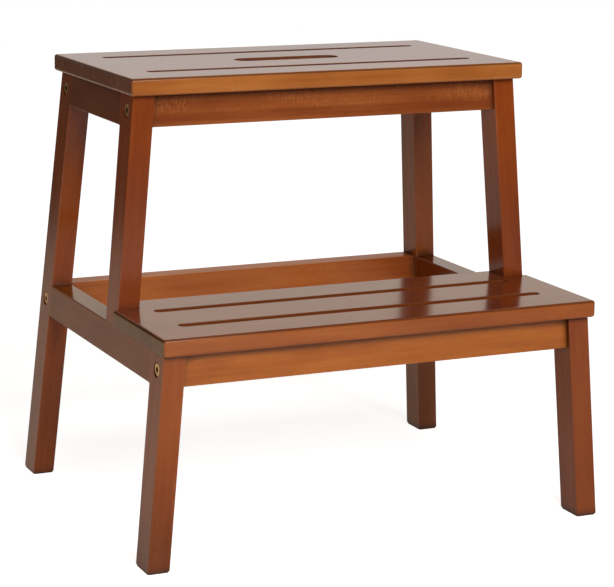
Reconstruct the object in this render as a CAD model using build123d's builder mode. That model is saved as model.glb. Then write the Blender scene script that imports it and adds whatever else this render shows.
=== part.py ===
from build123d import *
from collections import namedtuple
from math import cos, radians, tan
import os

# Two-step wooden kitchen stool: two leaning side frames, four bolted cross rails and two boards.
# Millimetres. +Z is up, the stool stands on Z = 0 centred on the origin, and its front faces -Y.
# Each side frame lies in one plane, which leans towards the middle of the stool as it rises.

# Overall sizes
OVERALL_HEIGHT = 400.0
OVERALL_WIDTH = 431.5
OVERALL_DEPTH = 352.0
STEP_HEIGHT = 200.7
TREAD_DEPTH = 123.5
SPLAY_ANGLE = 4.85
REAR_LEAN_ANGLE = 5.2

# Bars of the side frames, and the cross rails
BAR_WIDTH = 19.8
LEG_DEPTH = 29.5
RAIL_HEIGHT = 29.0
RAIL_THICKNESS = 22.0
RAIL_SETBACK = 5.5
EDGE_EASE = 1.0

# Boards
BOARD_THICKNESS = 15.0
BOARD_EDGE_RADIUS = 2.5
BOARD_CORNER_RADIUS = 3.0
TOP_SIDE_OVERHANG = 5.0
TOP_END_OVERHANG = 9.3
STEP_SIDE_OVERHANG = 3.3
STEP_FRONT_OVERHANG = 7.3
NOTCH_CLEARANCE = 0.5
SLOT_WIDTH = 10.0
SLOT_END_MARGIN = 31.5
SLOT_EDGE_MARGIN = 47.0
HAND_HOLE_LENGTH = 101.0
HAND_HOLE_WIDTH = 22.5
OPENING_EASE = 0.8

# Feet of the legs, and the pads under them
FOOT_CHAMFER = 0.4
PAD_THICKNESS = 1.2
PAD_INSET = 0.5
PAD_CORNER_RADIUS = 2.0

# Connector bolts and the barrel nuts that they screw into
BOLT_DIAMETER = 6.0
BOLT_TIP_LENGTH = 7.0
BOLT_TIP_CHAMFER = 0.8
BOLT_HEAD_DIAMETER = 11.5
BOLT_HEAD_THICKNESS = 2.5
BOLT_HEAD_EASE = 0.5
BOLT_HEAD_RECESS = 0.5
SOCKET_ACROSS_FLATS = 5.0
SOCKET_DEPTH = 1.8
COUNTERBORE_CLEARANCE = 0.7
BARREL_DIAMETER = 10.0
BARREL_LENGTH = 14.0
BARREL_INSET = 25.0
BARREL_SLOT_WIDTH = 1.4
BARREL_SLOT_DEPTH = 1.2

# Wooden dowels
DOWEL_DIAMETER = 6.0
DOWEL_IN_LEG = 11.0
DOWEL_IN_RAIL = 15.0
DOWEL_TIP_CHAMFER = 0.8
SIDE_DOWEL_MARGIN = 5.5
RAIL_DOWEL_MARGIN = 6.0
RAIL_DOWEL_SHIFT = 3.0
UPPER_LEG_DOWEL_SPACING = 14.0

# Screws that hold the boards
SCREW_DIAMETER = 4.0
SCREW_HEAD_DIAMETER = 8.0
SCREW_HEAD_ANGLE = 90.0
SCREW_SINK = 0.6
SCREW_BITE = 10.0
SCREW_TIP_LENGTH = 3.0
CROSS_RECESS_LENGTH = 4.4
CROSS_RECESS_WIDTH = 1.0
CROSS_RECESS_DEPTH = 1.6
RAIL_SCREW_INSET = 75.0
SIDE_SCREW_GAP = 24.0

# Clearance round what sits in a drilled hole, and spare depth at the hole's end
FIT = 0.1
HOLE_END_ROOM = 0.5

# How close to a plane a face or an edge has to lie to be picked by it
PICK_TOLERANCE = 0.01

LEFT = -1
RIGHT = 1
SIDE_NAMES = {LEFT: "left", RIGHT: "right"}
TOWARDS_FRONT = -1
TOWARDS_REAR = 1

splay_slope = tan(radians(SPLAY_ANGLE))
lean_slope = tan(radians(REAR_LEAN_ANGLE))

# Levels of the boards' undersides and of the rails' undersides
top_seat = OVERALL_HEIGHT - BOARD_THICKNESS
step_seat = STEP_HEIGHT - BOARD_THICKNESS
upper_rail_bottom = top_seat - RAIL_HEIGHT
lower_rail_bottom = step_seat - RAIL_HEIGHT

step_front = -OVERALL_DEPTH / 2


def outer_x(z):
    """Distance of a side frame's outer face from the middle of the stool, at level z."""
    return OVERALL_WIDTH / 2 - splay_slope * (z - PAD_THICKNESS)


def inner_x(z):
    """Distance of a side frame's inner face from the middle of the stool, at level z."""
    return outer_x(z) - BAR_WIDTH


def middle_x(z):
    """Distance of the middle of a side frame's thickness from the middle of the stool, at level z."""
    return outer_x(z) - BAR_WIDTH / 2


def lower_leg_front(z):
    """Front face of the lower front legs, which is upright."""
    return step_front + STEP_FRONT_OVERHANG


def lower_leg_rear(z):
    """Rear face of the lower front legs, which is upright."""
    return lower_leg_front(z) + LEG_DEPTH


def upper_leg_front(z):
    """Front face of the upper front legs, which is upright."""
    return step_front + TREAD_DEPTH


def upper_leg_rear(z):
    """Rear face of the upper front legs, which is upright."""
    return upper_leg_front(z) + LEG_DEPTH


def rear_leg_rear(z):
    """Rear face of the rear legs, which lean forwards as they rise."""
    return OVERALL_DEPTH / 2 - lean_slope * (z - PAD_THICKNESS)


def rear_leg_front(z):
    """Front face of the rear legs."""
    return rear_leg_rear(z) - LEG_DEPTH


# Each cross rail: the front face of the legs that it joins, its underside,
# and the direction from those legs to their side rails
CrossRail = namedtuple("CrossRail", "leg_front bottom to_side_rail")
CROSS_RAILS = {
    "upper_front_rail": CrossRail(upper_leg_front, upper_rail_bottom, TOWARDS_REAR),
    "upper_rear_rail": CrossRail(rear_leg_front, upper_rail_bottom, TOWARDS_FRONT),
    "lower_front_rail": CrossRail(lower_leg_front, lower_rail_bottom, TOWARDS_REAR),
    "lower_rear_rail": CrossRail(rear_leg_front, lower_rail_bottom, TOWARDS_FRONT),
}

# Each joint between a side rail and a leg: the leg's face, the rail's underside, the direction to the leg
SideJoint = namedtuple("SideJoint", "leg_face bottom to_leg")
SIDE_JOINTS = {
    "upper_front": SideJoint(upper_leg_rear, upper_rail_bottom, TOWARDS_FRONT),
    "upper_rear": SideJoint(rear_leg_front, upper_rail_bottom, TOWARDS_REAR),
    "lower_front": SideJoint(lower_leg_rear, lower_rail_bottom, TOWARDS_FRONT),
    "lower_rear": SideJoint(rear_leg_front, lower_rail_bottom, TOWARDS_REAR),
}


def bolt_level(rail):
    """Bolts run along the middle of their rail's height."""
    return CROSS_RAILS[rail].bottom + RAIL_HEIGHT / 2


def rail_front(rail):
    """Front face of a cross rail, set back from the front of its legs."""
    return CROSS_RAILS[rail].leg_front(bolt_level(rail)) + RAIL_SETBACK


def bolt_y(rail):
    """Bolts cross their legs in the middle of the legs' depth."""
    return CROSS_RAILS[rail].leg_front(bolt_level(rail)) + LEG_DEPTH / 2


def bolt_head_plane(side, rail):
    """Outer face of a bolt's head, sunk below the leg's outer face, with the bolt's axis along X."""
    level = bolt_level(rail)
    origin = (side * (outer_x(level) - BOLT_HEAD_RECESS), bolt_y(rail), level)
    return Plane(origin=origin, x_dir=(0, 1, 0), z_dir=(side, 0, 0))


def barrel_plane(side, rail):
    """Middle of a barrel nut, upright across the bolt's axis."""
    level = bolt_level(rail)
    origin = (side * (inner_x(level) - BARREL_INSET), bolt_y(rail), level)
    return Plane(origin=origin, x_dir=(1, 0, 0), z_dir=(0, 0, 1))


def rail_dowel_plane(side, rail):
    """Joint of a cross rail and a leg, on the dowel beside the bolt, facing into the leg."""
    z = CROSS_RAILS[rail].bottom + RAIL_HEIGHT - RAIL_DOWEL_MARGIN
    y = bolt_y(rail) - CROSS_RAILS[rail].to_side_rail * RAIL_DOWEL_SHIFT
    origin = (side * inner_x(z), y, z)
    return Plane(origin=origin, x_dir=(0, 1, 0), z_dir=(side, 0, 0))


def side_dowel_planes(side, joint):
    """Joint of a side rail and a leg, on its upper and lower dowels, facing into the leg."""
    leg_face, bottom, to_leg = SIDE_JOINTS[joint]
    planes = []
    for z in (bottom + SIDE_DOWEL_MARGIN, bottom + RAIL_HEIGHT - SIDE_DOWEL_MARGIN):
        origin = (side * middle_x(z), leg_face(z), z)
        planes.append(Plane(origin=origin, x_dir=(1, 0, 0), z_dir=(0, to_leg, 0)))
    return planes


def upper_leg_dowel_planes(side):
    """Foot of an upper front leg, on its two dowels, facing up along the leg."""
    middle_y = (upper_leg_front(step_seat) + upper_leg_rear(step_seat)) / 2
    planes = []
    for shift in (-UPPER_LEG_DOWEL_SPACING / 2, UPPER_LEG_DOWEL_SPACING / 2):
        origin = (side * middle_x(step_seat), middle_y + shift, step_seat)
        planes.append(Plane(origin=origin, x_dir=(0, 1, 0), z_dir=(-side * splay_slope, 0, 1)))
    return planes


def rail_screw_planes(rail):
    """Heads of the two board screws in a cross rail, facing down."""
    bottom = CROSS_RAILS[rail].bottom
    screw_x = inner_x(bottom) - RAIL_SCREW_INSET
    screw_y = rail_front(rail) + RAIL_THICKNESS / 2
    origins = [(side * screw_x, screw_y, bottom + SCREW_SINK) for side in SIDE_NAMES]
    return [Plane(origin=origin, x_dir=(1, 0, 0), z_dir=(0, 0, -1)) for origin in origins]


def side_screw_plane(side):
    """Head of the step screw in a lower side rail, ahead of the upper front leg, facing down."""
    screw_y = upper_leg_front(step_seat) - SIDE_SCREW_GAP
    screw_x = middle_x(lower_rail_bottom + RAIL_HEIGHT / 2)
    origin = (side * screw_x, screw_y, lower_rail_bottom + SCREW_SINK)
    return Plane(origin=origin, x_dir=(1, 0, 0), z_dir=(0, 0, -1))


def on_level(planes, z):
    """The same screw axes at the level of a board's underside."""
    return [Plane(origin=(p.origin.X, p.origin.Y, z), x_dir=p.x_dir, z_dir=p.z_dir) for p in planes]


def frame_plane(side):
    """Outer face of a side frame, with its local axes along +Y and up the frame from the legs' undersides."""
    up_the_frame = Vector(-side * splay_slope, 0, 1)
    origin = (side * OVERALL_WIDTH / 2, 0, PAD_THICKNESS)
    return Plane(origin=origin, x_dir=(0, 1, 0), z_dir=Vector(0, 1, 0).cross(up_the_frame))


def bar_run(side, low, high, front, rear, eased):
    """Run of a side-frame bar between the levels low and high and between the faces front(z) and rear(z).

    Its outline on the frame's outer face is swept along X, so its ends are level. The frame is sanded
    flush where bars meet, so only the long edges of the faces named in eased are rounded.
    """
    corners = [(front(low), low), (rear(low), low), (rear(high), high), (front(high), high)]
    outline = [(y, (z - PAD_THICKNESS) / cos(radians(SPLAY_ANGLE))) for y, z in corners]
    with BuildPart() as run:
        with BuildSketch(frame_plane(side)):
            with BuildLine():
                Polyline(*outline, close=True)
            make_face()
        extrude(amount=BAR_WIDTH, dir=(-side, 0, 0))
        level = run.faces().filter_by(Axis.Z).sort_by(Axis.Z)
        upright = run.faces().filter_by(Axis.Z, reverse=True).sort_by(Axis.Y)
        faces = {"bottom": level[0], "top": level[-1], "front": upright[0], "rear": upright[-1]}
        for name in eased:
            fillet(faces[name].edges().filter_by(Axis.X, reverse=True), EDGE_EASE)
    return run.part


def drill_leg_for_rail(side, rail):
    """Counterbored bolt hole through a leg, and the blind hole for the dowel beside it."""
    with Locations(bolt_head_plane(side, rail)):
        CounterBoreHole(
            radius=BOLT_DIAMETER / 2 + FIT,
            counter_bore_radius=BOLT_HEAD_DIAMETER / 2 + COUNTERBORE_CLEARANCE,
            counter_bore_depth=BOLT_HEAD_THICKNESS,
        )
    with Locations(rail_dowel_plane(side, rail)):
        Hole(DOWEL_DIAMETER / 2 + FIT, depth=DOWEL_IN_LEG + HOLE_END_ROOM)


def drill_side_joint(side, joint, depth):
    """Blind holes for the two dowels of a joint between a side rail and a leg."""
    with Locations(*side_dowel_planes(side, joint)):
        Hole(DOWEL_DIAMETER / 2 + FIT, depth=depth + HOLE_END_ROOM)


def drill_for_screws(planes):
    """Countersunk clearance holes for board screws, right through a rail."""
    with Locations(*planes):
        CounterSinkHole(
            radius=SCREW_DIAMETER / 2 + FIT,
            counter_sink_radius=SCREW_HEAD_DIAMETER / 2 + FIT,
            counter_sink_angle=SCREW_HEAD_ANGLE,
        )


def drill_board(planes, seat):
    """Pilot holes for screws in the underside of a board."""
    with Locations(*on_level(planes, seat)):
        Hole(SCREW_DIAMETER / 2 + FIT, depth=SCREW_BITE + HOLE_END_ROOM)


def save(part, name):
    """Label one piece, or one group of identical pieces, and write it to its own file."""
    part.label = name
    export_step(part, f"parts/{name}.step")


os.makedirs("parts", exist_ok=True)

top_screw_planes = rail_screw_planes("upper_front_rail") + rail_screw_planes("upper_rear_rail")
step_screw_planes = rail_screw_planes("lower_front_rail") + [side_screw_plane(side) for side in SIDE_NAMES]

# Top board, with two slots along its length and a hand hole between them
top_half_width = outer_x(top_seat) + TOP_SIDE_OVERHANG
top_front = upper_leg_front(top_seat) - TOP_END_OVERHANG
top_rear = rear_leg_rear(top_seat) + TOP_END_OVERHANG
top_middle = (top_front + top_rear) / 2
top_slot_ys = (top_front + SLOT_EDGE_MARGIN, top_rear - SLOT_EDGE_MARGIN)

with BuildPart() as top_board:
    with BuildSketch(Plane.XY.offset(top_seat)) as top_outline:
        with Locations((0, top_middle)):
            Rectangle(2 * top_half_width, top_rear - top_front)
        fillet(top_outline.vertices(), BOARD_CORNER_RADIUS)
    extrude(amount=BOARD_THICKNESS)
    fillet(top_board.faces().filter_by(Axis.Z).edges(), BOARD_EDGE_RADIUS)
    with BuildSketch(Plane.XY.offset(top_seat)):
        with Locations(*[(0, y) for y in top_slot_ys]):
            SlotOverall(2 * (top_half_width - SLOT_END_MARGIN), SLOT_WIDTH)
        with Locations((0, top_middle)):
            SlotOverall(HAND_HOLE_LENGTH, HAND_HOLE_WIDTH)
    extrude(amount=BOARD_THICKNESS, mode=Mode.SUBTRACT)
    for board_face in top_board.faces().filter_by(Axis.Z):
        fillet([edge for wire in board_face.inner_wires() for edge in wire.edges()], OPENING_EASE)
    drill_board(top_screw_planes, top_seat)
save(top_board.part, "top_board")

# Lower step board, with two slots and its rear corners notched round the upper front legs
step_half_width = outer_x(step_seat) + STEP_SIDE_OVERHANG
step_rear = upper_leg_rear(step_seat)
ear_rear = upper_leg_front(step_seat) - NOTCH_CLEARANCE
tongue_half_width = inner_x(STEP_HEIGHT) - NOTCH_CLEARANCE
step_slot_ys = (step_front + SLOT_EDGE_MARGIN, step_rear - SLOT_EDGE_MARGIN)

with BuildPart() as lower_step_board:
    with BuildSketch(Plane.XY.offset(step_seat)) as step_outline:
        with Locations((0, (step_front + step_rear) / 2)):
            Rectangle(2 * step_half_width, step_rear - step_front)
        fillet(step_outline.vertices().group_by(Axis.Y)[0], BOARD_CORNER_RADIUS)
    extrude(amount=BOARD_THICKNESS)
    fillet(lower_step_board.faces().filter_by(Axis.Z).edges(), BOARD_EDGE_RADIUS)
    with BuildSketch(Plane.XY.offset(step_seat)):
        for side in SIDE_NAMES:
            with BuildLine():
                Polyline(
                    (side * tongue_half_width, ear_rear),
                    (side * OVERALL_WIDTH, ear_rear),
                    (side * OVERALL_WIDTH, OVERALL_DEPTH),
                    (side * tongue_half_width, OVERALL_DEPTH),
                    close=True,
                )
            make_face()
    extrude(amount=BOARD_THICKNESS, mode=Mode.SUBTRACT)
    ear_range = (ear_rear - PICK_TOLERANCE, ear_rear + PICK_TOLERANCE)
    ear_edges = lower_step_board.faces().filter_by_position(Axis.Y, *ear_range).edges()
    outside_tongue = tongue_half_width + PICK_TOLERANCE
    fillet([edge for edge in ear_edges if abs(edge.center().X) > outside_tongue], EDGE_EASE)
    with BuildSketch(Plane.XY.offset(step_seat)):
        with Locations(*[(0, y) for y in step_slot_ys]):
            SlotOverall(2 * (step_half_width - SLOT_END_MARGIN), SLOT_WIDTH)
    extrude(amount=BOARD_THICKNESS, mode=Mode.SUBTRACT)
    for board_face in lower_step_board.faces().filter_by(Axis.Z):
        fillet([edge for wire in board_face.inner_wires() for edge in wire.edges()], OPENING_EASE)
    drill_board(step_screw_planes, step_seat)
save(lower_step_board.part, "lower_step_board")

# Side frames: three legs and two side rails each
all_round = ("front", "rear")
for side, side_name in SIDE_NAMES.items():
    with BuildPart() as rear_leg:
        add(bar_run(side, PAD_THICKNESS, lower_rail_bottom, rear_leg_front, rear_leg_rear, all_round))
        add(bar_run(side, lower_rail_bottom, step_seat, rear_leg_front, rear_leg_rear, ["rear"]))
        add(bar_run(side, step_seat, upper_rail_bottom, rear_leg_front, rear_leg_rear, all_round))
        add(bar_run(side, upper_rail_bottom, top_seat, rear_leg_front, rear_leg_rear, ["rear"]))
        chamfer(rear_leg.faces().sort_by(Axis.Z)[0].edges(), FOOT_CHAMFER)
        for level_name in ("upper", "lower"):
            drill_leg_for_rail(side, f"{level_name}_rear_rail")
            drill_side_joint(side, f"{level_name}_rear", DOWEL_IN_LEG)
    save(rear_leg.part, f"{side_name}_rear_leg")

    with BuildPart() as lower_front_leg:
        add(bar_run(side, PAD_THICKNESS, lower_rail_bottom, lower_leg_front, lower_leg_rear, all_round))
        add(bar_run(side, lower_rail_bottom, step_seat, lower_leg_front, lower_leg_rear, ["front"]))
        chamfer(lower_front_leg.faces().sort_by(Axis.Z)[0].edges(), FOOT_CHAMFER)
        drill_leg_for_rail(side, "lower_front_rail")
        drill_side_joint(side, "lower_front", DOWEL_IN_LEG)
    save(lower_front_leg.part, f"{side_name}_lower_front_leg")

    with BuildPart() as upper_front_leg:
        add(bar_run(side, step_seat, upper_rail_bottom, upper_leg_front, upper_leg_rear, all_round))
        add(bar_run(side, upper_rail_bottom, top_seat, upper_leg_front, upper_leg_rear, ["front"]))
        drill_leg_for_rail(side, "upper_front_rail")
        drill_side_joint(side, "upper_front", DOWEL_IN_LEG)
        with Locations(*upper_leg_dowel_planes(side)):
            Hole(DOWEL_DIAMETER / 2 + FIT, depth=DOWEL_IN_LEG + HOLE_END_ROOM)
    save(upper_front_leg.part, f"{side_name}_upper_front_leg")

    with BuildPart() as upper_side_rail:
        add(bar_run(side, upper_rail_bottom, top_seat, upper_leg_rear, rear_leg_front, ["bottom"]))
        for joint in ("upper_front", "upper_rear"):
            drill_side_joint(side, joint, DOWEL_IN_RAIL)
    save(upper_side_rail.part, f"{side_name}_upper_side_rail")

    with BuildPart() as lower_side_rail:
        add(bar_run(side, lower_rail_bottom, step_seat, lower_leg_rear, upper_leg_rear, ["bottom"]))
        add(bar_run(side, lower_rail_bottom, step_seat, upper_leg_rear, rear_leg_front, ["bottom", "top"]))
        for joint in ("lower_front", "lower_rear"):
            drill_side_joint(side, joint, DOWEL_IN_RAIL)
        with Locations(*upper_leg_dowel_planes(side)):
            Hole(DOWEL_DIAMETER / 2 + FIT, depth=DOWEL_IN_RAIL + HOLE_END_ROOM)
        drill_for_screws([side_screw_plane(side)])
    save(lower_side_rail.part, f"{side_name}_lower_side_rail")

# Cross rails, with ends cut to the splay of the legs
bolt_length = BAR_WIDTH - BOLT_HEAD_RECESS + BARREL_INSET + BOLT_TIP_LENGTH
for rail in CROSS_RAILS:
    bottom = CROSS_RAILS[rail].bottom
    top = bottom + RAIL_HEIGHT
    barrel_reach = (RAIL_HEIGHT + BARREL_LENGTH) / 2
    with BuildPart() as cross_rail:
        with BuildSketch(Plane.XZ.offset(-rail_front(rail))):
            with BuildLine():
                Polyline(
                    (-inner_x(bottom), bottom),
                    (inner_x(bottom), bottom),
                    (inner_x(top), top),
                    (-inner_x(top), top),
                    close=True,
                )
            make_face()
        extrude(amount=-RAIL_THICKNESS)
        fillet(cross_rail.edges().filter_by(Axis.X), EDGE_EASE)
        for side in SIDE_NAMES:
            with Locations(bolt_head_plane(side, rail)):
                Hole(BOLT_DIAMETER / 2 + FIT, depth=bolt_length + HOLE_END_ROOM)
            with Locations(barrel_plane(side, rail).offset(-RAIL_HEIGHT / 2)):
                Hole(BARREL_DIAMETER / 2 + FIT, depth=barrel_reach + HOLE_END_ROOM)
            with Locations(rail_dowel_plane(side, rail)):
                Hole(DOWEL_DIAMETER / 2 + FIT, depth=DOWEL_IN_RAIL + HOLE_END_ROOM)
        if rail != "lower_rear_rail":
            drill_for_screws(rail_screw_planes(rail))
    save(cross_rail.part, rail)

# Connector bolt, with its head's outer face on Z = 0 and its shank along -Z
hang_down = (Align.CENTER, Align.CENTER, Align.MAX)
with BuildPart() as bolt:
    Cylinder(BOLT_HEAD_DIAMETER / 2, BOLT_HEAD_THICKNESS, align=hang_down)
    fillet(bolt.edges().group_by(Axis.Z)[-1], BOLT_HEAD_EASE)
    Cylinder(BOLT_DIAMETER / 2, bolt_length, align=hang_down)
    chamfer(bolt.edges().group_by(Axis.Z)[0], BOLT_TIP_CHAMFER)
    with BuildSketch():
        RegularPolygon(SOCKET_ACROSS_FLATS / 2, side_count=6, major_radius=False)
    extrude(amount=-SOCKET_DEPTH, mode=Mode.SUBTRACT)

with BuildPart() as connector_bolts:
    with Locations(*[bolt_head_plane(side, rail) for side in SIDE_NAMES for rail in CROSS_RAILS]):
        add(bolt.part)
save(connector_bolts.part, "connector_bolts")

# Barrel nut, upright round the origin, bored across along X, with a driver slot in its lower end
with BuildPart() as barrel:
    Cylinder(BARREL_DIAMETER / 2, BARREL_LENGTH)
    with Locations(Plane.YZ):
        Hole(BOLT_DIAMETER / 2 + FIT)
    with Locations((0, 0, -BARREL_LENGTH / 2)):
        Box(BARREL_DIAMETER, BARREL_SLOT_WIDTH, 2 * BARREL_SLOT_DEPTH, mode=Mode.SUBTRACT)

with BuildPart() as barrel_nuts:
    with Locations(*[barrel_plane(side, rail) for side in SIDE_NAMES for rail in CROSS_RAILS]):
        add(barrel.part)
save(barrel_nuts.part, "barrel_nuts")

# Dowel across a joint on Z = 0, with the leg above and the rail below
with BuildPart() as dowel:
    with Locations((0, 0, DOWEL_IN_LEG)):
        Cylinder(DOWEL_DIAMETER / 2, DOWEL_IN_LEG + DOWEL_IN_RAIL, align=hang_down)
    chamfer(dowel.edges().filter_by(GeomType.CIRCLE), DOWEL_TIP_CHAMFER)

side_dowel_pairs = [side_dowel_planes(side, joint) for side in SIDE_NAMES for joint in SIDE_JOINTS]
upper_leg_dowel_pairs = [upper_leg_dowel_planes(side) for side in SIDE_NAMES]
dowel_groups = {
    "rail_dowels": [rail_dowel_plane(side, rail) for side in SIDE_NAMES for rail in CROSS_RAILS],
    "side_rail_dowels": [plane for pair in side_dowel_pairs for plane in pair],
    "upper_leg_dowels": [plane for pair in upper_leg_dowel_pairs for plane in pair],
}
for group_name, planes in dowel_groups.items():
    with BuildPart() as dowels:
        with Locations(*planes):
            add(dowel.part)
    save(dowels.part, group_name)

# Countersunk screw, with its head on Z = 0, its shank along -Z and a cross recess in the head
head_radius = SCREW_HEAD_DIAMETER / 2
shank_radius = SCREW_DIAMETER / 2
screw_length = RAIL_HEIGHT - SCREW_SINK + SCREW_BITE
head_depth = (head_radius - shank_radius) / tan(radians(SCREW_HEAD_ANGLE / 2))
with BuildPart() as screw:
    with BuildSketch(Plane.XZ):
        with BuildLine():
            Polyline(
                (0, 0),
                (head_radius, 0),
                (shank_radius, -head_depth),
                (shank_radius, SCREW_TIP_LENGTH - screw_length),
                (0, -screw_length),
                close=True,
            )
        make_face()
    revolve(axis=Axis.Z)
    with BuildSketch():
        Rectangle(CROSS_RECESS_LENGTH, CROSS_RECESS_WIDTH)
        Rectangle(CROSS_RECESS_WIDTH, CROSS_RECESS_LENGTH)
    extrude(amount=-CROSS_RECESS_DEPTH, mode=Mode.SUBTRACT)

screw_groups = {"top_board_screws": top_screw_planes, "step_board_screws": step_screw_planes}
for group_name, planes in screw_groups.items():
    with BuildPart() as screws:
        with Locations(*planes):
            add(screw.part)
    save(screws.part, group_name)

# Foot pads, set in a little from the edges of the legs' feet
for side, side_name in SIDE_NAMES.items():
    for end_name, leg_front in {"front": lower_leg_front, "rear": rear_leg_front}.items():
        foot_middle = (side * middle_x(PAD_THICKNESS), leg_front(PAD_THICKNESS) + LEG_DEPTH / 2)
        with BuildPart() as foot_pad:
            with BuildSketch():
                with Locations(foot_middle):
                    RectangleRounded(BAR_WIDTH - 2 * PAD_INSET, LEG_DEPTH - 2 * PAD_INSET, PAD_CORNER_RADIUS)
            extrude(amount=PAD_THICKNESS)
        save(foot_pad.part, f"{side_name}_{end_name}_foot_pad")
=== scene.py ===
# %% [markdown]
# # A lacquered kitchen step stool
# The stool is a rigid two-step stool of stained, lacquered wood. Every bar and board already has its true
# shape in the packed frame, so this lesson gives those shapes their finish: grain that runs the way each
# bar was cut, stain, a clear lacquer over it, brass bolt heads, and then a plain white studio.
# The frame is loaded first, and its box is kept, because the finished stool may not grow past it.

# %% Load the frame
import math
from collections import namedtuple
from dataclasses import dataclass
import bpy
from mathutils import Matrix, Vector


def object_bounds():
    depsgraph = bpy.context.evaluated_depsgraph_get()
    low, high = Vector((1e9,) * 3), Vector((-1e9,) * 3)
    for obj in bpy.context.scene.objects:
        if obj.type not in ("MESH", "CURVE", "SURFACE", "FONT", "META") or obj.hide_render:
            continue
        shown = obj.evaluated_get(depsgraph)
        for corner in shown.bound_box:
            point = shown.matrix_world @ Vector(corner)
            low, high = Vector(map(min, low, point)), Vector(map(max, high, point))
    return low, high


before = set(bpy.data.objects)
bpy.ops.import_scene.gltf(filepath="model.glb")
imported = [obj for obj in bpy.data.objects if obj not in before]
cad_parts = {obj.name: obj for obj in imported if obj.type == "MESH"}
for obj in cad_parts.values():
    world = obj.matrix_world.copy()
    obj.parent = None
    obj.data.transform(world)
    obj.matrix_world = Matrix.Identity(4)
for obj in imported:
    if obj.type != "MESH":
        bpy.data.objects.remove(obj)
cad_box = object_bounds()
stool_low, stool_high = cad_box
print("frame holds", len(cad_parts), "nodes, box", tuple(stool_low), tuple(stool_high))

# %% [markdown]
# ## Sockets that can do sums
# A finish is a long chain of small sums: stretch the place, ask a noise, sharpen it, mix two colours.
# Drawn as nodes that is hard to read, and written as calls that make and link nodes it is no better.
# A small class that wraps a socket lets the sums be written as Python, so `1 - mask` makes its Math node.
# Colours and vectors can't go through Math nodes, so they have a mix, a stretch and a shift of their own.

# %% A socket that can do sums
# A Mix node has sockets for every kind of data, and these are its places for colours
MIX_FACTOR, MIX_FIRST, MIX_SECOND, MIX_RESULT = 0, 6, 7, 2


class Wire:
    """An output socket in a node tree that takes part in Python arithmetic."""

    def __init__(self, tree, socket=None):
        self.tree = tree
        self.socket = socket

    def node(self, kind, settings=None, inputs=None, output=0):
        """Make a node, apply its settings, fill its sockets with values or wires, return one output."""
        made = self.tree.nodes.new(kind)
        for name, value in (settings or {}).items():
            setattr(made, name, value)
        for name, value in (inputs or {}).items():
            if isinstance(value, Wire):
                self.tree.links.new(value.socket, made.inputs[name])
            else:
                made.inputs[name].default_value = value
        return Wire(self.tree, made.outputs[output] if made.outputs else None)

    def maths(self, operation, *operands):
        """A Math node on operands that are numbers or wires."""
        return self.node("ShaderNodeMath", {"operation": operation}, dict(enumerate(operands)))

    def __add__(self, other):
        return self.maths("ADD", self, other)

    def __radd__(self, other):
        return self.maths("ADD", other, self)

    def __sub__(self, other):
        return self.maths("SUBTRACT", self, other)

    def __rsub__(self, other):
        return self.maths("SUBTRACT", other, self)

    def __mul__(self, other):
        return self.maths("MULTIPLY", self, other)

    def __rmul__(self, other):
        return self.maths("MULTIPLY", other, self)

    def __abs__(self):
        return self.maths("ABSOLUTE", self)

    def rise(self, low, high):
        """A smooth step from 0 at low to 1 at high."""
        ends = {"Value": self, "From Min": low, "From Max": high}
        return self.node("ShaderNodeMapRange", {"interpolation_type": "SMOOTHSTEP"}, ends)

    def stretch(self, factors):
        """This vector or colour with each of its three parts multiplied by its own factor."""
        return self.node("ShaderNodeVectorMath", {"operation": "MULTIPLY"}, {0: self, 1: factors})

    def shift(self, offset):
        """This vector with another one added to it."""
        return self.node("ShaderNodeVectorMath", {"operation": "ADD"}, {0: self, 1: offset})

    def blend(self, first, second):
        """A colour that goes from first to second as this value goes from 0 to 1."""
        mixed = {MIX_FACTOR: self, MIX_FIRST: first, MIX_SECOND: second}
        return self.node("ShaderNodeMix", {"data_type": "RGBA"}, mixed, MIX_RESULT)

    def parts(self):
        """The three parts of this vector, each as a wire."""
        apart = self.node("ShaderNodeSeparateXYZ", inputs={0: self})
        return [Wire(self.tree, socket) for socket in apart.socket.node.outputs]


print("besides sums, a wire has", ", ".join(name for name in vars(Wire) if not name.startswith("_")))

# %% [markdown]
# ## A material for a piece
# Each packed node is a mesh with one material slot, and a finish is a node tree in that slot. The tree
# starts empty, so that nothing is in it by default, and all over the stool it ends alike: a Principled
# shader feeds the output. These helpers do that much, so the finishes further down are only about looks.

# %% Start a material, end it, and put it on a piece
def opaque(colour):
    """The four numbers that a colour socket wants, from red, green and blue."""
    return (*colour, 1.0)


def new_material(name):
    """An empty node material, and a bare wire to start its nodes from."""
    material = bpy.data.materials.new(name)
    material.use_nodes = True
    material.node_tree.nodes.clear()
    return material, Wire(material.node_tree)


def end_material(wire, sockets):
    """A Principled shader with these values or wires in its sockets, as the material's surface."""
    surface = wire.node("ShaderNodeBsdfPrincipled", inputs=sockets)
    wire.node("ShaderNodeOutputMaterial", inputs={"Surface": surface})


def cover(node, material):
    """Give a packed node its finish."""
    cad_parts[node].material_slots[0].material = material


print("slots to fill:", sum(len(piece.material_slots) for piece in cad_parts.values()))

# %% [markdown]
# ## Which way the grain runs
# A joiner cuts every bar along the grain: it runs from left to right in the boards and cross rails, from
# back to front in the side rails, and up and down in the legs. The packed meshes stand at the origin, so
# the Object coordinate is simply the place on the stool in metres, and no unwrapping is needed.
# The side frames lean, so their bars measure "across" from a plane that leans with them. The absolute value
# lets left and right bars use the same sums, and a shift by side keeps them from being twins.

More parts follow.
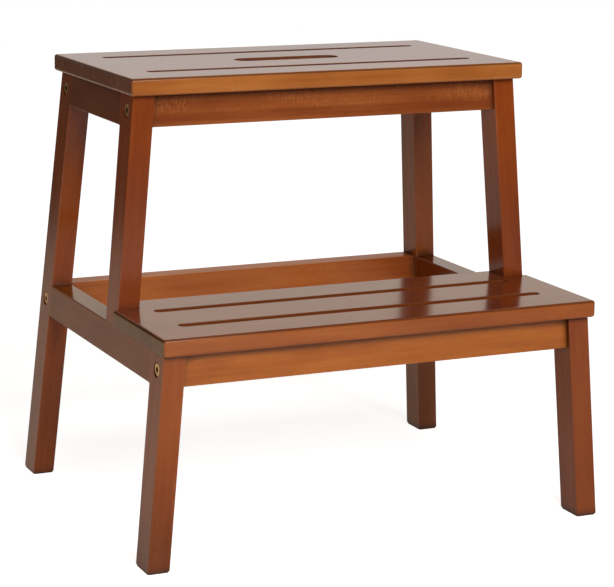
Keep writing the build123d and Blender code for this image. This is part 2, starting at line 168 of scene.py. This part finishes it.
# %% Grain coordinates
SPLAY_ANGLE = 4.85
REAR_LEAN_ANGLE = 5.2
SIDE_SHIFT = 0.37
ACROSS, INWARD, UPRIGHT, LEANING = "left to right", "back to front", "upright", "upright and leaning"
splay_slope = math.tan(math.radians(SPLAY_ANGLE))
lean_slope = math.tan(math.radians(REAR_LEAN_ANGLE))


def stool_place(wire):
    """The place on the stool in metres, as a vector."""
    return wire.node("ShaderNodeTexCoord", output="Object")


def grain_place(wire, run, plank=0.0, turned=False):
    """The place on the stool as a vector of distances along the grain, across it and through the bar.

    Another plank is the same endless wood, so many metres further along, or turned end for end.
    """
    x, y, z = stool_place(wire).parts()
    side = x.maths("SIGN", x) * SIDE_SHIFT
    leaning = abs(x) + z * splay_slope
    # Each run's sums wait in a lambda, so that only the chosen ones become nodes
    parts = {
        ACROSS: lambda: (x, z, y),
        INWARD: lambda: (y + side, z, leaning),
        UPRIGHT: lambda: (z + side, leaning, y),
        LEANING: lambda: (z + side, leaning, y + z * lean_slope),
    }[run]()
    place = wire.node("ShaderNodeCombineXYZ", inputs=dict(enumerate(parts)))
    return place.stretch((-1.0 if turned else 1.0, 1.0, 1.0)).shift((plank, 0.0, 0.0))


print("splay slope", round(splay_slope, 4), "rear lean slope", round(lean_slope, 4))

# %% [markdown]
# ## The figure of the wood
# This pale hardwood shows no bold rings under its stain. What the eye reads is a slow drift of colour along
# the bar, soft streaks, fine fibre and short dark pores. Drawn rings would look wrong, so drift, streaks and
# fibre are stretched noises, long along the grain and narrow across it. The pores are dashes, one in the
# middle of each stretched cell. The numbers of all four are marks per metre along, across and through the
# bar, so they can be checked against a ruler.

# %% Figure
Figure = namedtuple("Figure", "marks detail")
DRIFT = Figure((9.0, 38.0, 38.0), 3.0)
STREAK = Figure((5.0, 210.0, 210.0), 4.0)
FIBRE = Figure((36.0, 1500.0, 1500.0), 2.0)
PORE_MARKS = (190.0, 2300.0, 2300.0)


def grain_noise(place, figure, output=0):
    """A soft noise with the figure's marks per metre along, across and through the bar."""
    inputs = {"Vector": place.stretch(figure.marks), "Scale": 1.0, "Detail": figure.detail}
    return place.node("ShaderNodeTexNoise", inputs=inputs, output=output)


def cell_distance(room):
    """How far a place is from the middle of its own cell, where each cell holds one mark."""
    return room.node("ShaderNodeTexVoronoi", inputs={"Vector": room, "Scale": 1.0})


def grain_dashes(place, marks, size):
    """A mask of separate long dashes, size being their share of the room each has."""
    return 1 - cell_distance(place.stretch(marks)).rise(size / 2, size)


print("colour drifts every", round(1000 / DRIFT.marks[0]), "mm along the grain")

# %% [markdown]
# ## Rays on the upper rails
# These rails were sawn along the tree's radius, so they show rays: small pale ticks that stand across the
# grain and gather in patches. A noise gives clouds, not ticks, so the ticks are cells, stretched across the
# grain. Left alone they would stand in rows, so one noise scatters them, and another leaves them in patches.

# %% Rays
RAY_MARKS = (640.0, 190.0, 420.0)
RAY_FADES = (0.15, 0.6)
SCATTER = Figure((110.0, 110.0, 110.0), 2.0)
SCATTER_REACH = (1.5, 4.0, 1.5)
PATCH = Figure((16.0, 60.0, 60.0), 2.0)
PATCH_SHOWS = (0.32, 0.6)


def ray_ticks(place):
    """A mask of short ticks that stand across the grain, scattered and gathered in patches."""
    scatter = grain_noise(place, SCATTER, "Color").stretch(SCATTER_REACH)
    ticks = 1 - cell_distance(place.stretch(RAY_MARKS).shift(scatter)).rise(*RAY_FADES)
    return ticks * grain_noise(place, PATCH).rise(*PATCH_SHOWS)


print("a ray every", round(1000 / RAY_MARKS[0], 1), "mm along the grain")

# %% [markdown]
# ## Edges, corners and faces
# Stain and lacquer don't lie evenly. They rub thin on sharp edges, and end grain took the stain darker.
# Painted light lies over that: a painted highlight along those edges, painted shade in corners, under the
# boards and in the slots, and upward and side faces made lighter or darker as the light falls on them.
# Painting that by hand would tie the finish to one mesh, so masks find those places. Ambient occlusion tells
# how close another surface is: looking out it finds corners and openings, and looking into the wood it finds
# edges. The normal tells how a face lies.

# %% Masks
OCCLUSION_SAMPLES = 8
UPWARD = (0.5, 0.9)
ROUND_BEGINS, ROUND_ENDS = (0.15, 0.45), (0.8, 0.97)
SIDEWAYS = (0.4, 0.8)
EDGE_SIDEWAYS = (0.1, 0.4)
Faces = namedtuple("Faces", "upward rounded end_grain end_edge")


def closeness(wire, reach, inside=False, same_piece=False):
    """A mask that is 1 where a surface is close in front or, looking inside, close behind the skin."""
    kind = {"inside": inside, "only_local": same_piece, "samples": OCCLUSION_SAMPLES}
    return 1 - wire.node("ShaderNodeAmbientOcclusion", kind, {"Distance": reach}, "AO")


def faces_of(wire):
    """Masks for upward faces, rounded upper edges, faces to the left or right, and their rounded edges."""
    facing_x, _, facing_z = wire.node("ShaderNodeTexCoord", output="Normal").parts()
    rounded = facing_z.rise(*ROUND_BEGINS) * (1 - facing_z.rise(*ROUND_ENDS))
    sideways = abs(facing_x)
    end_edge = rounded * sideways.rise(*EDGE_SIDEWAYS)
    return Faces(facing_z.rise(*UPWARD), rounded, sideways.rise(*SIDEWAYS), end_edge)


print("a face counts as upward within", round(math.degrees(math.acos(UPWARD[1]))), "degrees of level")

# %% [markdown]
# ## What makes one bar's finish
# The bars share one recipe and differ in a few numbers, so the recipe takes a small record of them. Most of
# its fields have a common value, and a bar names only what is out of the common. The stain is the colour of
# the bare stained wood. The factors multiply its red, green and blue, where 1 leaves it as it is.

# %% The fields of a finish
CORNER_SHADE_REACH = 0.012


def even(factor):
    """The same factor for red, green and blue."""
    return (factor, factor, factor)


PLAIN = even(1.0)


@dataclass
class Finish:
    """How one kind of bar was cut, stained and lacquered, and where light and shade are painted on it."""

    run: str  # which way the grain runs
    stain: tuple  # red, green and blue of the stained wood
    plank: float = 0.0  # metres along the endless wood at which the bar was cut
    turned: bool = False  # whether it was cut end for end
    rays: float = 0.0  # how much the rays show
    heart: float = None  # level of a darker band along the bar, with no rays below it
    streaks: float = 0.5  # how much the streaks show
    fine: float = 0.7  # how much the fibre, the pores and their relief show
    gloss: float = 0.67  # how much lacquer there is
    end_gloss: float = 1.0  # share of that lacquer on faces to the left or right
    wear_and_highlight: float = 0.6  # how much sharp edges are made paler: stain rubbed off, with a painted highlight
    corners: float = 0.8  # how much painted shade lies where pieces meet and under the boards
    corner_shade_reach: float = CORNER_SHADE_REACH  # metres from that meeting to where the painted shade has faded out
    arris: float = 1.0  # factor on rounded upper edges, which lose lacquer too at the ends
    top: tuple = PLAIN  # factors on upward faces: painted light and shade, as the light falls on them
    ends: tuple = PLAIN  # factors on faces to the left or right: darker end grain on boards, painted light and shade on legs and rails
    tail: tuple = PLAIN  # factors towards the stool's right end: painted shade on the lower rear rail, a redder tone on the step
    foot: float = 1.0  # factor at the floor
    opening_stain_and_shade: tuple = None  # red, green and blue inside a board's slots and hand hole: deep stain under painted shade


print("a finish has", len(Finish.__dataclass_fields__), "fields")

# %% [markdown]
# ## Stain by the figure
# Now the noises become a colour. Drift, streaks and fibre add up to one value, which picks a colour between
# a dark and a pale tone of the stain. Both tones are the stain times a factor, and not colours of their own,
# so one stain sets a whole bar. Pores go on top as dark dashes, and rays as pale ticks.

# %% Stain by the figure
DARK_TONE, PALE_TONE = (0.72, 0.6, 0.55), (1.28, 1.42, 1.5)
PORE_TONE, RAY_TONE = (0.45, 0.32, 0.3), (1.65, 2.2, 3.0)
MIDDLE = 0.5
DRIFT_SHARE, FIBRE_SHARE, PORE_SHARE, HEART_SHARE = 1.1, 0.45, 0.45, 0.3
PORE_SIZE = 0.42
PORES_SHOW = (0.3, 0.6)
HEART_WIDTH = 0.007


def tone(stain, factors):
    """A stain with its red, green and blue multiplied by their factors, ready for a colour socket."""
    return opaque(part * factor for part, factor in zip(stain, factors))


def figured_stain(wire, finish):
    """The stain as the wood's figure shows in it, and with it the fibre and the pores."""
    place = grain_place(wire, finish.run, finish.plank, finish.turned)
    _, _, height = stool_place(wire).parts()
    drift, streak, fibre = (grain_noise(place, figure) for figure in (DRIFT, STREAK, FIBRE))
    pores = grain_dashes(place, PORE_MARKS, PORE_SIZE) * drift.rise(*PORES_SHOW)
    figure = MIDDLE + (drift - MIDDLE) * DRIFT_SHARE + (streak - MIDDLE) * finish.streaks
    figure = figure + (fibre - MIDDLE) * (FIBRE_SHARE * finish.fine)
    if finish.heart:
        figure = figure - (1 - abs(height - finish.heart).rise(0.0, HEART_WIDTH)) * HEART_SHARE
    colour = figure.rise(0.0, 1.0).blend(tone(finish.stain, DARK_TONE), tone(finish.stain, PALE_TONE))
    colour = (pores * (PORE_SHARE * finish.fine)).blend(colour, tone(finish.stain, PORE_TONE))
    if finish.rays:
        ticks = ray_ticks(place) * finish.rays
        if finish.heart:
            ticks = ticks * height.rise(finish.heart, finish.heart + HEART_WIDTH)
        colour = ticks.blend(colour, tone(finish.stain, RAY_TONE))
    return colour, fibre, pores


print("pale wood has", round(PALE_TONE[0] / DARK_TONE[0], 2), "times the red of dark wood")

# %% [markdown]
# ## Stain and painted light by the place
# The same stain looks deeper on the boards' end grain and darker near the floor. Upward faces, the sides of
# legs and rails and the lower rear rail's right end get painted light and shade, lighter or darker as the
# light falls on them. Each of these is a mask and a factor, so a loop puts them on one after the other and
# skips the ones that a bar hasn't. Last come the edges, made paler by rubbed stain and a painted highlight,
# and the corners, the places under the boards and the slots, which get painted shade. The deep corner tone
# is that painted shade: the soft, warm dark that fills a joint.

# %% Stain and painted light by the place
FOOT_DARKENING_HEIGHT = 0.1
TAIL_REACH = (0.0, 0.17)
# Worn tone: stain rubbed paler on edges, with a painted highlight. Corner tone: painted shade.
WORN_AND_HIGHLIGHT_TONE, CORNER_SHADE_TONE = (1.4, 1.9, 2.6), (0.26, 0.33, 0.65)
CORNER_SHADE_SHOWS = (0.08, 0.5)
OPENING_REACH = 0.06
OPENING_SHOWS = (0.04, 0.3)
OPENING_SHARE = 0.9


def placed_stain_and_light(wire, colour, faces, finish):
    """The colour made deeper or paler by how a face lies and where on the stool it is, partly as painted
    light and shade.
    """
    across, _, height = stool_place(wire).parts()
    # Darker towards the floor, up to this height.
    near_floor = 1 - height.rise(0.0, FOOT_DARKENING_HEIGHT)
    deepened = [
        (faces.upward, finish.top),
        (faces.rounded, even(finish.arris)),
        (faces.end_grain, finish.ends),
        (across.rise(*TAIL_REACH), finish.tail),
        (near_floor, even(finish.foot)),
    ]
    for mask, factors in deepened:
        if factors != PLAIN:
            colour = mask.blend(colour, colour.stretch(factors))
    return colour


def worn_highlighted_and_shaded(wire, colour, edge, finish):
    """The colour made paler on sharp edges by rubbed stain and a painted highlight, and darker by painted
    shade in corners and openings.
    """
    # Sharp edges: stain rubbed thin, and a painted highlight along them.
    colour = (edge * finish.wear_and_highlight).blend(colour, tone(finish.stain, WORN_AND_HIGHLIGHT_TONE))
    # Painted shade where another surface is close: in joints and under the boards' overhang.
    corner = closeness(wire, finish.corner_shade_reach).rise(*CORNER_SHADE_SHOWS)
    colour = (corner * finish.corners).blend(colour, tone(finish.stain, CORNER_SHADE_TONE))
    # Inside the openings: deep stain with painted shade over it.
    if finish.opening_stain_and_shade:
        opening = closeness(wire, OPENING_REACH, same_piece=True).rise(*OPENING_SHOWS)
        colour = (opening * OPENING_SHARE).blend(colour, opaque(finish.opening_stain_and_shade))
    return colour


# The painted shade in corners fades out over this many millimetres from a joint.
print("stain gathers up to", CORNER_SHADE_REACH * 1000, "mm from a joint")

# %% [markdown]
# ## Lacquer over stain
# The stain is brown in the wood, and the lacquer is a clear film on top of it. A glossy base would only
# whiten the brown. The Principled shader has a second layer for this: its coat is smooth and mirrors the
# white room at low angles, which is why the boards look grey from here, while the base keeps the saturated
# stain. What is the same all over is set on the shader's own sockets. How much coat there is varies: it is
# thinner on edges, and on end grain, which drinks it. Fibre and pores give the film its slight relief.

# %% Lacquered wood
CLEAR_COAT = {"Coat Roughness": 0.17, "Coat IOR": 1.5, "Specular IOR Level": 0.0}
EDGE_WIDTH = 0.0025
EDGE_SHOWS = (0.15, 0.55)
EDGE_LOSS, END_EDGE_LOSS = 0.12, 1.2
ROUGHNESS, FIBRE_ROUGHNESS, PORE_ROUGHNESS = 0.36, 0.16, 0.12
RELIEF_STRENGTH, RELIEF_HEIGHT, PORE_DEPTH = 0.14, 0.0004, 0.6


def lacquered_wood(name, finish):
    """Stained wood under a clear coat, made as its finish says."""
    material, wire = new_material(name)
    faces = faces_of(wire)
    edge = closeness(wire, EDGE_WIDTH, inside=True, same_piece=True).rise(*EDGE_SHOWS)
    colour, fibre, pores = figured_stain(wire, finish)
    colour = placed_stain_and_light(wire, colour, faces, finish)
    colour = worn_highlighted_and_shaded(wire, colour, edge, finish)
    end_loss = finish.gloss * (1 - finish.end_gloss)
    end_edge_loss = finish.gloss * END_EDGE_LOSS * (1 - finish.arris)
    gloss = finish.gloss - edge * EDGE_LOSS - faces.end_grain * end_loss - faces.end_edge * end_edge_loss
    relief = {
        "Strength": RELIEF_STRENGTH * finish.fine,
        "Distance": RELIEF_HEIGHT,
        "Height": fibre - pores * PORE_DEPTH,
    }
    end_material(wire, {
        "Base Color": colour,
        "Roughness": ROUGHNESS + fibre * FIBRE_ROUGHNESS + pores * PORE_ROUGHNESS,
        "Coat Weight": gloss,
        "Normal": wire.node("ShaderNodeBump", inputs=relief),
        **CLEAR_COAT,
    })
    return material


def lacquer(bar, finish):
    """Give a bar, or the left and the right bar of that name, a finish."""
    wood = lacquered_wood(bar + "_stain", finish)
    nodes = [node for node in (bar, "left_" + bar, "right_" + bar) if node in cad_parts]
    for node in nodes:
        cover(node, wood)
    print("lacquered", ", ".join(nodes))


print("coat roughness", CLEAR_COAT["Coat Roughness"])

# %% [markdown]
# ## The two boards
# The boards were sanded and lacquered with most care, so their gloss is high, their edges are rounded and
# not worn, and their fibre hardly shows. Their ends are end grain, which took the stain darker. Their upward
# faces get painted light and shade. Inside the slots and the hand hole deep stain lies under painted shade,
# as in a joint, which draws these openings as dark lines.

# %% Lacquer the boards
# The top factors of both boards are painted light and shade on their upward faces.
lacquer("top_board", Finish(
    ACROSS, stain=(0.438, 0.138, 0.0275), fine=0.5, gloss=0.765, wear_and_highlight=0.0, arris=0.5,
    top=(0.93, 0.79, 0.68), ends=(0.48, 0.54, 1.3), opening_stain_and_shade=(0.1, 0.033, 0.024),
))
lacquer("lower_step_board", Finish(
    ACROSS, stain=(0.338, 0.0815, 0.01), fine=0.5, gloss=0.87, end_gloss=0.6, wear_and_highlight=0.0, arris=0.55,
    top=(0.69, 0.53, 0.9), ends=(0.45, 0.68, 1.35), tail=(0.95, 0.9, 0.85), opening_stain_and_shade=(0.17, 0.04, 0.0095),
))

# %% [markdown]
# ## The four cross rails
# The rails were cut from several planks, so the same stain came out golden on the two lower ones and redder
# on the upper ones. Both upper rails show rays, and the front one has a darker heart band too. It lies in
# the soft shade of the top board, so its painted corner shade reaches further. The lower rear rail is turned
# end for end, to differ from the front one. Its upper face is painted paler as light, and its right end
# darker as painted shade.

# %% Lacquer the cross rails
lacquer("upper_front_rail", Finish(
    ACROSS, stain=(0.31, 0.0785, 0.0173), plank=0.65, rays=0.42, heart=0.3635, streaks=1.0,
    corner_shade_reach=0.019,
))
lacquer("upper_rear_rail", Finish(ACROSS, stain=(0.37, 0.085, 0.012), rays=0.3))
lacquer("lower_front_rail", Finish(ACROSS, stain=(0.442, 0.121, 0.0162)))
# The lower rear rail's top factors are painted light on its upper face, and its tail factors painted shade
# towards its right end.
lacquer("lower_rear_rail", Finish(
    ACROSS, stain=(0.43, 0.114, 0.022), turned=True, gloss=0.42,
    top=(1.75, 1.95, 2.3), tail=(0.82, 0.74, 0.8),
))

# %% [markdown]
# ## The bars of the side frames
# Legs and side rails are redder and darker than the boards, and no two quite match, as on any stool made of
# short lengths. So each bar that shows has a stain of its own. Only the upper side rails share one, because
# the right one is hidden from the front.

# %% Lacquer the side frames
# On legs and side rails the ends factors are painted light and shade on faces to the left or right: outer
# faces darker, the right legs' inner faces paler. The left lower side rail's top factors are painted light
# too.
lacquer("upper_side_rail", Finish(INWARD, stain=(0.185, 0.046, 0.0105)))
lacquer("left_lower_side_rail", Finish(
    INWARD, stain=(0.265, 0.058, 0.0065), gloss=0.72, end_gloss=0.82, top=(1.2, 1.55, 2.2), ends=even(0.8),
))
lacquer("right_lower_side_rail", Finish(INWARD, stain=(0.187, 0.028, 0.002), gloss=0.85))
lacquer("left_upper_front_leg", Finish(
    UPRIGHT, stain=(0.244, 0.046, 0.0073), corners=0.35, ends=even(0.97),
))
lacquer("right_upper_front_leg", Finish(
    UPRIGHT, stain=(0.265, 0.049, 0.0066), corners=0.35, ends=even(1.16),
))
lacquer("left_lower_front_leg", Finish(
    UPRIGHT, stain=(0.291, 0.0655, 0.0125), gloss=0.6, ends=even(0.9), foot=0.68,
))
lacquer("right_lower_front_leg", Finish(
    UPRIGHT, stain=(0.245, 0.051, 0.0105), gloss=0.55, ends=even(0.92),
))
lacquer("left_rear_leg", Finish(
    LEANING, stain=(0.278, 0.053, 0.0052), corners=0.5, ends=even(0.84),
))
lacquer("right_rear_leg", Finish(
    LEANING, stain=(0.26, 0.061, 0.0135), gloss=0.62, ends=even(1.15),
))

# %% [markdown]
# ## Brass bolt heads
# The bolts that hold the side frames to the cross rails are antique brass: plated, then darkened, with the
# dark rubbed off where a hand or a key touches. So the metal is bright on edges and brown in the socket.
# A plain brass would look new, so the two masks of the wood serve here too: looking into the metal finds
# the edges, and looking out finds the recess.

# %% Antique brass
BRASS, PATINA, RUBBED_BRASS = (0.5, 0.31, 0.1), (0.03, 0.015, 0.005), (0.75, 0.56, 0.27)
SPECKLE = Figure(even(900.0), 3.0)
RUB_WIDTH, RECESS_REACH = 0.0012, 0.006
RUB_SHOWS, RECESS_SHOWS = (0.2, 0.6), (0.25, 0.8)
RUB_SHARE, SPECKLE_SHARE = 0.7, 0.3
BRASS_ROUGHNESS, SPECKLE_ROUGHNESS = 0.24, 0.16


def antique_brass():
    """Brown patina over brass, rubbed through on the edges."""
    material, wire = new_material("antique_brass_patina")
    speckle = grain_noise(stool_place(wire), SPECKLE)
    rubbed = closeness(wire, RUB_WIDTH, inside=True, same_piece=True).rise(*RUB_SHOWS)
    recess = closeness(wire, RECESS_REACH).rise(*RECESS_SHOWS)
    darkened = recess * (1 - SPECKLE_SHARE + speckle * SPECKLE_SHARE) * (1 - rubbed)
    aged = darkened.blend(opaque(BRASS), opaque(PATINA))
    end_material(wire, {
        "Base Color": (rubbed * RUB_SHARE).blend(aged, opaque(RUBBED_BRASS)),
        "Metallic": 1.0,
        "Roughness": BRASS_ROUGHNESS + speckle * SPECKLE_ROUGHNESS,
    })
    return material


cover("connector_bolts", antique_brass())
print("the bolts' edges are rubbed bright over", RUB_WIDTH * 1000, "mm")

# %% [markdown]
# ## Zinc screws and nuts
# The screws are driven from below and the barrel nuts lie inside the rails, so they hardly show. They still
# get a true finish, because someone may take the stool apart on screen. Zinc plate is a pale metal with a
# cloudy bloom, so one soft noise varies both its colour and its roughness.

# %% Zinc plate
DULL_ZINC, BRIGHT_ZINC = (0.5, 0.51, 0.53), (0.7, 0.71, 0.72)
BLOOM = Figure(even(420.0), 4.0)
BLOOM_SHOWS = (0.3, 0.7)
ZINC_ROUGHNESS, BLOOM_ROUGHNESS = 0.28, 0.25


def zinc_plate():
    """Pale plated steel with a cloudy bloom."""
    material, wire = new_material("zinc_plate")
    bloom = grain_noise(stool_place(wire), BLOOM)
    end_material(wire, {
        "Base Color": bloom.rise(*BLOOM_SHOWS).blend(opaque(DULL_ZINC), opaque(BRIGHT_ZINC)),
        "Metallic": 1.0,
        "Roughness": ZINC_ROUGHNESS + bloom * BLOOM_ROUGHNESS,
    })
    return material


ZINC_PIECES = ("barrel_nuts", "top_board_screws", "step_board_screws")
zinc = zinc_plate()
for node in ZINC_PIECES:
    cover(node, zinc)
print("zinc on", ", ".join(ZINC_PIECES))

# %% [markdown]
# ## Beech dowels
# The dowels are bare beech: pale, matte, with the short brown flecks that beech is known by. It is wood
# again, so the same fibre and pores serve, without stain or coat. Each dowel's grain runs along it.

# %% Bare beech
DARK_BEECH, PALE_BEECH, FLECK_BROWN = (0.58, 0.4, 0.24), (0.78, 0.6, 0.4), (0.4, 0.23, 0.12)
BEECH_FIBRE = Figure(FIBRE.marks, 3.0)
BEECH_SHOWS = (0.2, 0.8)
FLECK_SIZE, FLECK_SHARE = 0.5, 0.6
BEECH_ROUGHNESS, BEECH_FIBRE_ROUGHNESS = 0.55, 0.2


def bare_beech(name, run):
    """Pale wood with brown flecks and no lacquer."""
    material, wire = new_material(name)
    place = grain_place(wire, run)
    fibre = grain_noise(place, BEECH_FIBRE)
    flecks = grain_dashes(place, PORE_MARKS, FLECK_SIZE)
    pale = fibre.rise(*BEECH_SHOWS).blend(opaque(DARK_BEECH), opaque(PALE_BEECH))
    end_material(wire, {
        "Base Color": (flecks * FLECK_SHARE).blend(pale, opaque(FLECK_BROWN)),
        "Roughness": BEECH_ROUGHNESS + fibre * BEECH_FIBRE_ROUGHNESS,
    })
    return material


DOWELS = {"rail_dowels": ACROSS, "side_rail_dowels": INWARD, "upper_leg_dowels": UPRIGHT}
for node, run in DOWELS.items():
    cover(node, bare_beech(node + "_beech", run))
print("beech on", ", ".join(DOWELS))

# %% [markdown]
# ## Rubber under the feet
# Thin pads keep the feet from scratching the floor. They are dull, dark rubber with a fine pebbled grain.
# The grain is far too fine to model, so a bump stands in for it.

# %% Foot rubber
DARK_RUBBER, PALE_RUBBER = (0.04, 0.024, 0.017), (0.075, 0.045, 0.032)
PEBBLE = Figure(even(1800.0), 2.0)
PEBBLE_SHOWS = (0.3, 0.7)
PEBBLE_STRENGTH, PEBBLE_HEIGHT = 0.3, 0.0002
RUBBER_ROUGHNESS, PEBBLE_ROUGHNESS = 0.65, 0.2


def foot_rubber():
    """Dull dark rubber with a fine grain."""
    material, wire = new_material("foot_rubber_matte")
    pebble = grain_noise(stool_place(wire), PEBBLE)
    relief = {"Strength": PEBBLE_STRENGTH, "Distance": PEBBLE_HEIGHT, "Height": pebble}
    end_material(wire, {
        "Base Color": pebble.rise(*PEBBLE_SHOWS).blend(opaque(DARK_RUBBER), opaque(PALE_RUBBER)),
        "Roughness": RUBBER_ROUGHNESS + pebble * PEBBLE_ROUGHNESS,
        "Normal": wire.node("ShaderNodeBump", inputs=relief),
    })
    return material


rubber = foot_rubber()
pads = [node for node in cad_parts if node.endswith("foot_pad")]
for node in pads:
    cover(node, rubber)
print("rubber on", len(pads), "pads")

# %% [markdown]
# ## The camera
# The stool is seen from the front and the left, a little from above, through a long lens. The angles below
# were solved from the stool's own edges. The camera's axes are built from them, because a camera looks
# along its own minus Z with its Y up.

# %% Camera
IMAGE_WIDTH = 614
FOCAL_PIXELS = 2260.16
SENSOR_WIDTH = 36.0
CAMERA_PLACE = Vector((-0.82579, -1.84976, 0.62463))
YAW, PITCH, ROLL = (math.radians(angle) for angle in (24.1264, 12.1516, 0.4379))
look = Vector((math.sin(YAW) * math.cos(PITCH), math.cos(YAW) * math.cos(PITCH), -math.sin(PITCH)))
level = Vector((math.cos(YAW), -math.sin(YAW), 0.0))
upward = level.cross(look)
right = math.cos(ROLL) * level + math.sin(ROLL) * upward
above = math.cos(ROLL) * upward - math.sin(ROLL) * level
lens = bpy.data.cameras.new("camera")
lens.sensor_fit = "HORIZONTAL"
lens.sensor_width = SENSOR_WIDTH
lens.lens = FOCAL_PIXELS / IMAGE_WIDTH * SENSOR_WIDTH
camera = bpy.data.objects.new("camera", lens)
axes = Matrix((right, above, -look)).transposed().to_4x4()
camera.matrix_world = Matrix.Translation(CAMERA_PLACE) @ axes
bpy.context.collection.objects.link(camera)
bpy.context.scene.camera = camera
bpy.context.scene.view_settings.view_transform = "Standard"
print("lens of", round(lens.lens, 1), "mm")

# %% [markdown]
# ## A white floor that keeps its shadow
# The stool stands on a white floor that runs out to a white background. A real white floor would need so
# much light that the stool bleached, so the floor adds its own light, but only where the camera or a
# reflection looks at it: Light Path tells those rays apart. The lacquer mirrors a bright, slightly warm
# floor behind the stool and a dim one in front and further out, so the added light fades there in
# reflections. Close to the stool the added light is a little weaker, which leaves room for the shadow.

# %% Floor paint
FLOOR_LIFT, MIRRORED_LIFT = 0.87, 0.53
FLOOR_PAINT, WHITE = (0.9, 0.9, 0.9), (1.0, 1.0, 1.0)
MIRRORED_TINT = (1.02, 0.87, 0.68)
SHADOW_REACH = (0.4, 1.3)
MIRRORED_FROM, MIRRORED_FADES = (-0.6, 0.3), (1.5, 2.5)


def ray_kinds(wire):
    """Masks for camera rays and for rays that mirror or pass through."""
    kinds = ("Is Camera Ray", "Is Glossy Ray", "Is Transmission Ray")
    seen, glossy, passing = (wire.node("ShaderNodeLightPath", output=kind) for kind in kinds)
    return seen, wire.maths("MAXIMUM", glossy, passing) * (1 - seen)


def white_floor():
    """White paint whose own light shows only to the camera and in reflections."""
    material, wire = new_material("white_floor")
    place = stool_place(wire)
    reach = place.node("ShaderNodeVectorMath", {"operation": "LENGTH"}, {0: place}, "Value")
    _, back, _ = place.parts()
    seen, mirrored = ray_kinds(wire)
    far = reach.rise(*SHADOW_REACH)
    behind = back.rise(*MIRRORED_FROM) * (1 - reach.rise(*MIRRORED_FADES))
    glow = seen * (FLOOR_LIFT + far * (1 - FLOOR_LIFT)) + mirrored * behind * MIRRORED_LIFT
    tint = seen.blend(opaque(MIRRORED_TINT), opaque(WHITE))
    paint = wire.node("ShaderNodeBsdfDiffuse", inputs={"Color": opaque(FLOOR_PAINT)})
    light = wire.node("ShaderNodeEmission", inputs={"Color": tint, "Strength": glow})
    both = wire.node("ShaderNodeAddShader", inputs={0: paint, 1: light})
    wire.node("ShaderNodeOutputMaterial", inputs={"Surface": both})
    return material


print("the floor's own light near the stool:", FLOOR_LIFT)

# %% [markdown]
# ## The floor itself
# One flat disc under the feet is enough. A round one has no corner that could show in a reflection, and well
# before its rim it is as white as the world behind it. It is stage, not stool.

# %% Floor
FLOOR_RADIUS = 4.0
FLOOR_SIDES = 96
floor_mesh = bpy.data.meshes.new("floor")
turns = [2 * math.pi * step / FLOOR_SIDES for step in range(FLOOR_SIDES)]
rim = [(FLOOR_RADIUS * math.cos(turn), FLOOR_RADIUS * math.sin(turn), stool_low.z) for turn in turns]
floor_mesh.from_pydata(rim, [], [range(FLOOR_SIDES)])
floor_mesh.materials.append(white_floor())
floor = bpy.data.objects.new("floor", floor_mesh)
bpy.context.collection.objects.link(floor)
print("floor of", FLOOR_RADIUS, "m radius")

# %% [markdown]
# ## Two softboxes
# One large softbox stands in front and above, so front faces are the brightest, the boards throw a short
# shadow on the rails below them, and the left ends fall into shade. A weak one, low on the left, keeps that
# shade warm and draws a light line along the rounded corners. Area lamps are used, because a point lamp
# would throw hard shadows, and they are hidden from the camera.

# %% Lamps
KEY_PLACE, KEY_SIZE, KEY_POWER = (-0.05, -1.5, 1.0), (0.9, 0.6), 19.3
LEFT_PLACE, LEFT_AIM = (-0.8, -0.1, 0.12), (0.0, -0.1, 0.12)
LEFT_SIZE, LEFT_POWER = (0.5, 0.2), 0.82


def softbox(name, place, aim, size, power):
    """A rectangular lamp that faces its aim and that the camera can't see."""
    lamp = bpy.data.lights.new(name, "AREA")
    lamp.shape = "RECTANGLE"
    lamp.size, lamp.size_y = size
    lamp.energy = power
    held = bpy.data.objects.new(name, lamp)
    held.location = place
    held.rotation_euler = (Vector(aim) - Vector(place)).to_track_quat("-Z", "Y").to_euler()
    held.visible_camera = False
    bpy.context.collection.objects.link(held)


stool_middle = (stool_low + stool_high) / 2
softbox("key_softbox", KEY_PLACE, stool_middle, KEY_SIZE, KEY_POWER)
softbox("left_softbox", LEFT_PLACE, LEFT_AIM, LEFT_SIZE, LEFT_POWER)
print("key of", KEY_POWER, "W, left fill of", LEFT_POWER, "W")

# %% [markdown]
# ## The white room
# The world is plain white to the camera and gives only a little fill light. Reflections see more of it, or
# the lacquer would mirror darkness: a white backdrop behind the stool, with a warmer wall above it, and a
# dim room elsewhere. The direction of a ray says which of these it meets, so one shader holds them all.

# %% World
WORLD_FILL, DIM_ROOM = 0.08, 0.3
BACKDROP_WHITE, WARM_WALL = (1.0, 0.99, 0.97), (1.0, 0.8, 0.6)
BACKDROP_ACROSS, BACKDROP_BACK = (-0.4, 0.2), (0.0, 0.5)
HORIZON, WALL_FROM = (-0.02, 0.06), (0.16, 0.23)
world = bpy.data.worlds.new("white_room")
world.use_nodes = True
world.node_tree.nodes.clear()
sky = Wire(world.node_tree)
across, back, up = sky.node("ShaderNodeTexCoord", output="Generated").parts()
seen, mirrored = ray_kinds(sky)
backdrop = across.rise(*BACKDROP_ACROSS) * back.rise(*BACKDROP_BACK)
mirrored_room = mirrored * up.rise(*HORIZON) * (DIM_ROOM + backdrop * (1 - DIM_ROOM))
strength = WORLD_FILL + (seen + mirrored_room) * (1 - WORLD_FILL)
wall = up.rise(*WALL_FROM).blend(opaque(BACKDROP_WHITE), opaque(WARM_WALL))
room = {"Color": seen.blend(wall, opaque(WHITE)), "Strength": strength}
sky.node("ShaderNodeOutputWorld", inputs={"Surface": sky.node("ShaderNodeBackground", inputs=room)})
bpy.context.scene.world = world
print("fill from the world", WORLD_FILL)

# %% [markdown]
# ## The size stays the same
# Only finishes were added to the stool's pieces, so its box is still the one kept when the frame was loaded.
